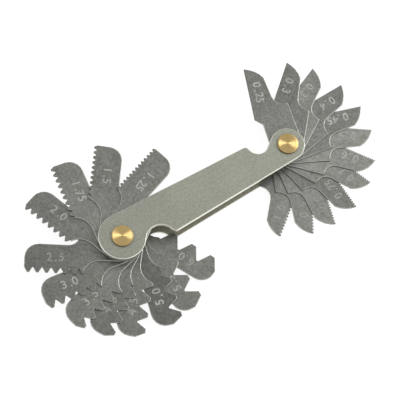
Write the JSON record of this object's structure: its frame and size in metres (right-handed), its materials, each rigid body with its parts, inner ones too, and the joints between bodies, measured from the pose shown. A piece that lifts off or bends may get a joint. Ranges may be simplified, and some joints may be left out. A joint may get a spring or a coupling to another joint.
{
  "type": "thread pitch gauge",
  "caption": "Pocket metric thread pitch gauge: coarse and fine toothed steel leaves that fan out of the two ends of a flat riveted case.",
  "frame": {"origin": "on the coarse rivet's axis, in the plane of the rear rivet heads' flat faces, on which the gauge rests", "axes": "+X along the case to the fine rivet, +Z out of the front cover, with the leaves fanned out"},
  "size_m": [0.1075, 0.0547, 0.008],
  "materials": {
    "cover_steel": "satin, fine grain along the case",
    "leaf_steel": "matt, finely mottled, with marked pitch numbers",
    "rivet_brass": "turned, satin"
  },
  "bodies": {
    "case": {"front_cover": "cover_steel", "rear_cover": "cover_steel", "coarse_rivet": "rivet_brass", "fine_rivet": "rivet_brass"},
    "leaf_1_25_mm": {"leaf_1_25_mm": "leaf_steel"},
    "leaf_1_5_mm": {"leaf_1_5_mm": "leaf_steel"},
    "leaf_1_75_mm": {"leaf_1_75_mm": "leaf_steel"},
    "leaf_2_0_mm": {"leaf_2_0_mm": "leaf_steel"},
    "leaf_2_5_mm": {"leaf_2_5_mm": "leaf_steel"},
    "leaf_3_0_mm": {"leaf_3_0_mm": "leaf_steel"},
    "leaf_3_5_mm": {"leaf_3_5_mm": "leaf_steel"},
    "leaf_4_0_mm": {"leaf_4_0_mm": "leaf_steel"},
    "leaf_4_5_mm": {"leaf_4_5_mm": "leaf_steel"},
    "leaf_5_0_mm": {"leaf_5_0_mm": "leaf_steel"},
    "leaf_5_5_mm": {"leaf_5_5_mm": "leaf_steel"},
    "leaf_6_0_mm": {"leaf_6_0_mm": "leaf_steel"},
    "leaf_0_25_mm": {"leaf_0_25_mm": "leaf_steel"},
    "leaf_0_3_mm": {"leaf_0_3_mm": "leaf_steel"},
    "leaf_0_35_mm": {"leaf_0_35_mm": "leaf_steel"},
    "leaf_0_4_mm": {"leaf_0_4_mm": "leaf_steel"},
    "leaf_0_45_mm": {"leaf_0_45_mm": "leaf_steel"},
    "leaf_0_5_mm": {"leaf_0_5_mm": "leaf_steel"},
    "leaf_0_6_mm": {"leaf_0_6_mm": "leaf_steel"},
    "leaf_0_7_mm": {"leaf_0_7_mm": "leaf_steel"},
    "leaf_0_75_mm": {"leaf_0_75_mm": "leaf_steel"},
    "leaf_0_8_mm": {"leaf_0_8_mm": "leaf_steel"},
    "leaf_0_9_mm": {"leaf_0_9_mm": "leaf_steel"},
    "leaf_1_0_mm": {"leaf_1_0_mm": "leaf_steel"}
  },
  "joints": [
    {"name": "leaf_1_25_mm_hinge", "type": "hinge", "parent": "case", "child": "leaf_1_25_mm", "pos_m": [0, 0, 0], "axis": [0, 0, 1], "range_deg": [-39, 321]},
    {"name": "leaf_1_5_mm_hinge", "type": "hinge", "parent": "case", "child": "leaf_1_5_mm", "pos_m": [0, 0, 0], "axis": [0, 0, 1], "range_deg": [-73, 287]},
    {"name": "leaf_1_75_mm_hinge", "type": "hinge", "parent": "case", "child": "leaf_1_75_mm", "pos_m": [0, 0, 0], "axis": [0, 0, 1], "range_deg": [-102, 258]},
    {"name": "leaf_2_0_mm_hinge", "type": "hinge", "parent": "case", "child": "leaf_2_0_mm", "pos_m": [0, 0, 0], "axis": [0, 0, 1], "range_deg": [-130, 230]},
    {"name": "leaf_2_5_mm_hinge", "type": "hinge", "parent": "case", "child": "leaf_2_5_mm", "pos_m": [0, 0, 0], "axis": [0, 0, 1], "range_deg": [-168, 192]},
    {"name": "leaf_3_0_mm_hinge", "type": "hinge", "parent": "case", "child": "leaf_3_0_mm", "pos_m": [0, 0, 0], "axis": [0, 0, 1], "range_deg": [-193.5, 166.5]},
    {"name": "leaf_3_5_mm_hinge", "type": "hinge", "parent": "case", "child": "leaf_3_5_mm", "pos_m": [0, 0, 0], "axis": [0, 0, 1], "range_deg": [-215, 145]},
    {"name": "leaf_4_0_mm_hinge", "type": "hinge", "parent": "case", "child": "leaf_4_0_mm", "pos_m": [0, 0, 0], "axis": [0, 0, 1], "range_deg": [-232.5, 127.5]},
    {"name": "leaf_4_5_mm_hinge", "type": "hinge", "parent": "case", "child": "leaf_4_5_mm", "pos_m": [0, 0, 0], "axis": [0, 0, 1], "range_deg": [-250.5, 109.5]},
    {"name": "leaf_5_0_mm_hinge", "type": "hinge", "parent": "case", "child": "leaf_5_0_mm", "pos_m": [0, 0, 0], "axis": [0, 0, 1], "range_deg": [-275, 85]},
    {"name": "leaf_5_5_mm_hinge", "type": "hinge", "parent": "case", "child": "leaf_5_5_mm", "pos_m": [0, 0, 0], "axis": [0, 0, 1], "range_deg": [-292.5, 67.5]},
    {"name": "leaf_6_0_mm_hinge", "type": "hinge", "parent": "case", "child": "leaf_6_0_mm", "pos_m": [0, 0, 0], "axis": [0, 0, 1], "range_deg": [-318, 42]},
    {"name": "leaf_0_25_mm_hinge", "type": "hinge", "parent": "case", "child": "leaf_0_25_mm", "pos_m": [0.0547, 0, 0], "axis": [0, 0, 1], "range_deg": [-263.5, 96.5]},
    {"name": "leaf_0_3_mm_hinge", "type": "hinge", "parent": "case", "child": "leaf_0_3_mm", "pos_m": [0.0547, 0, 0], "axis": [0, 0, 1], "range_deg": [-234.5, 125.5]},
    {"name": "leaf_0_35_mm_hinge", "type": "hinge", "parent": "case", "child": "leaf_0_35_mm", "pos_m": [0.0547, 0, 0], "axis": [0, 0, 1], "range_deg": [-217.5, 142.5]},
    {"name": "leaf_0_4_mm_hinge", "type": "hinge", "parent": "case", "child": "leaf_0_4_mm", "pos_m": [0.0547, 0, 0], "axis": [0, 0, 1], "range_deg": [-196.5, 163.5]},
    {"name": "leaf_0_45_mm_hinge", "type": "hinge", "parent": "case", "child": "leaf_0_45_mm", "pos_m": [0.0547, 0, 0], "axis": [0, 0, 1], "range_deg": [-178, 182]},
    {"name": "leaf_0_5_mm_hinge", "type": "hinge", "parent": "case", "child": "leaf_0_5_mm", "pos_m": [0.0547, 0, 0], "axis": [0, 0, 1], "range_deg": [-161, 199]},
    {"name": "leaf_0_6_mm_hinge", "type": "hinge", "parent": "case", "child": "leaf_0_6_mm", "pos_m": [0.0547, 0, 0], "axis": [0, 0, 1], "range_deg": [-140.5, 219.5]},
    {"name": "leaf_0_7_mm_hinge", "type": "hinge", "parent": "case", "child": "leaf_0_7_mm", "pos_m": [0.0547, 0, 0], "axis": [0, 0, 1], "range_deg": [-125.5, 234.5]},
    {"name": "leaf_0_75_mm_hinge", "type": "hinge", "parent": "case", "child": "leaf_0_75_mm", "pos_m": [0.0547, 0, 0], "axis": [0, 0, 1], "range_deg": [-106.5, 253.5]},
    {"name": "leaf_0_8_mm_hinge", "type": "hinge", "parent": "case", "child": "leaf_0_8_mm", "pos_m": [0.0547, 0, 0], "axis": [0, 0, 1], "range_deg": [-88.5, 271.5]},
    {"name": "leaf_0_9_mm_hinge", "type": "hinge", "parent": "case", "child": "leaf_0_9_mm", "pos_m": [0.0547, 0, 0], "axis": [0, 0, 1], "range_deg": [-73, 287]},
    {"name": "leaf_1_0_mm_hinge", "type": "hinge", "parent": "case", "child": "leaf_1_0_mm", "pos_m": [0.0547, 0, 0], "axis": [0, 0, 1], "range_deg": [-52, 308]}
  ]
}
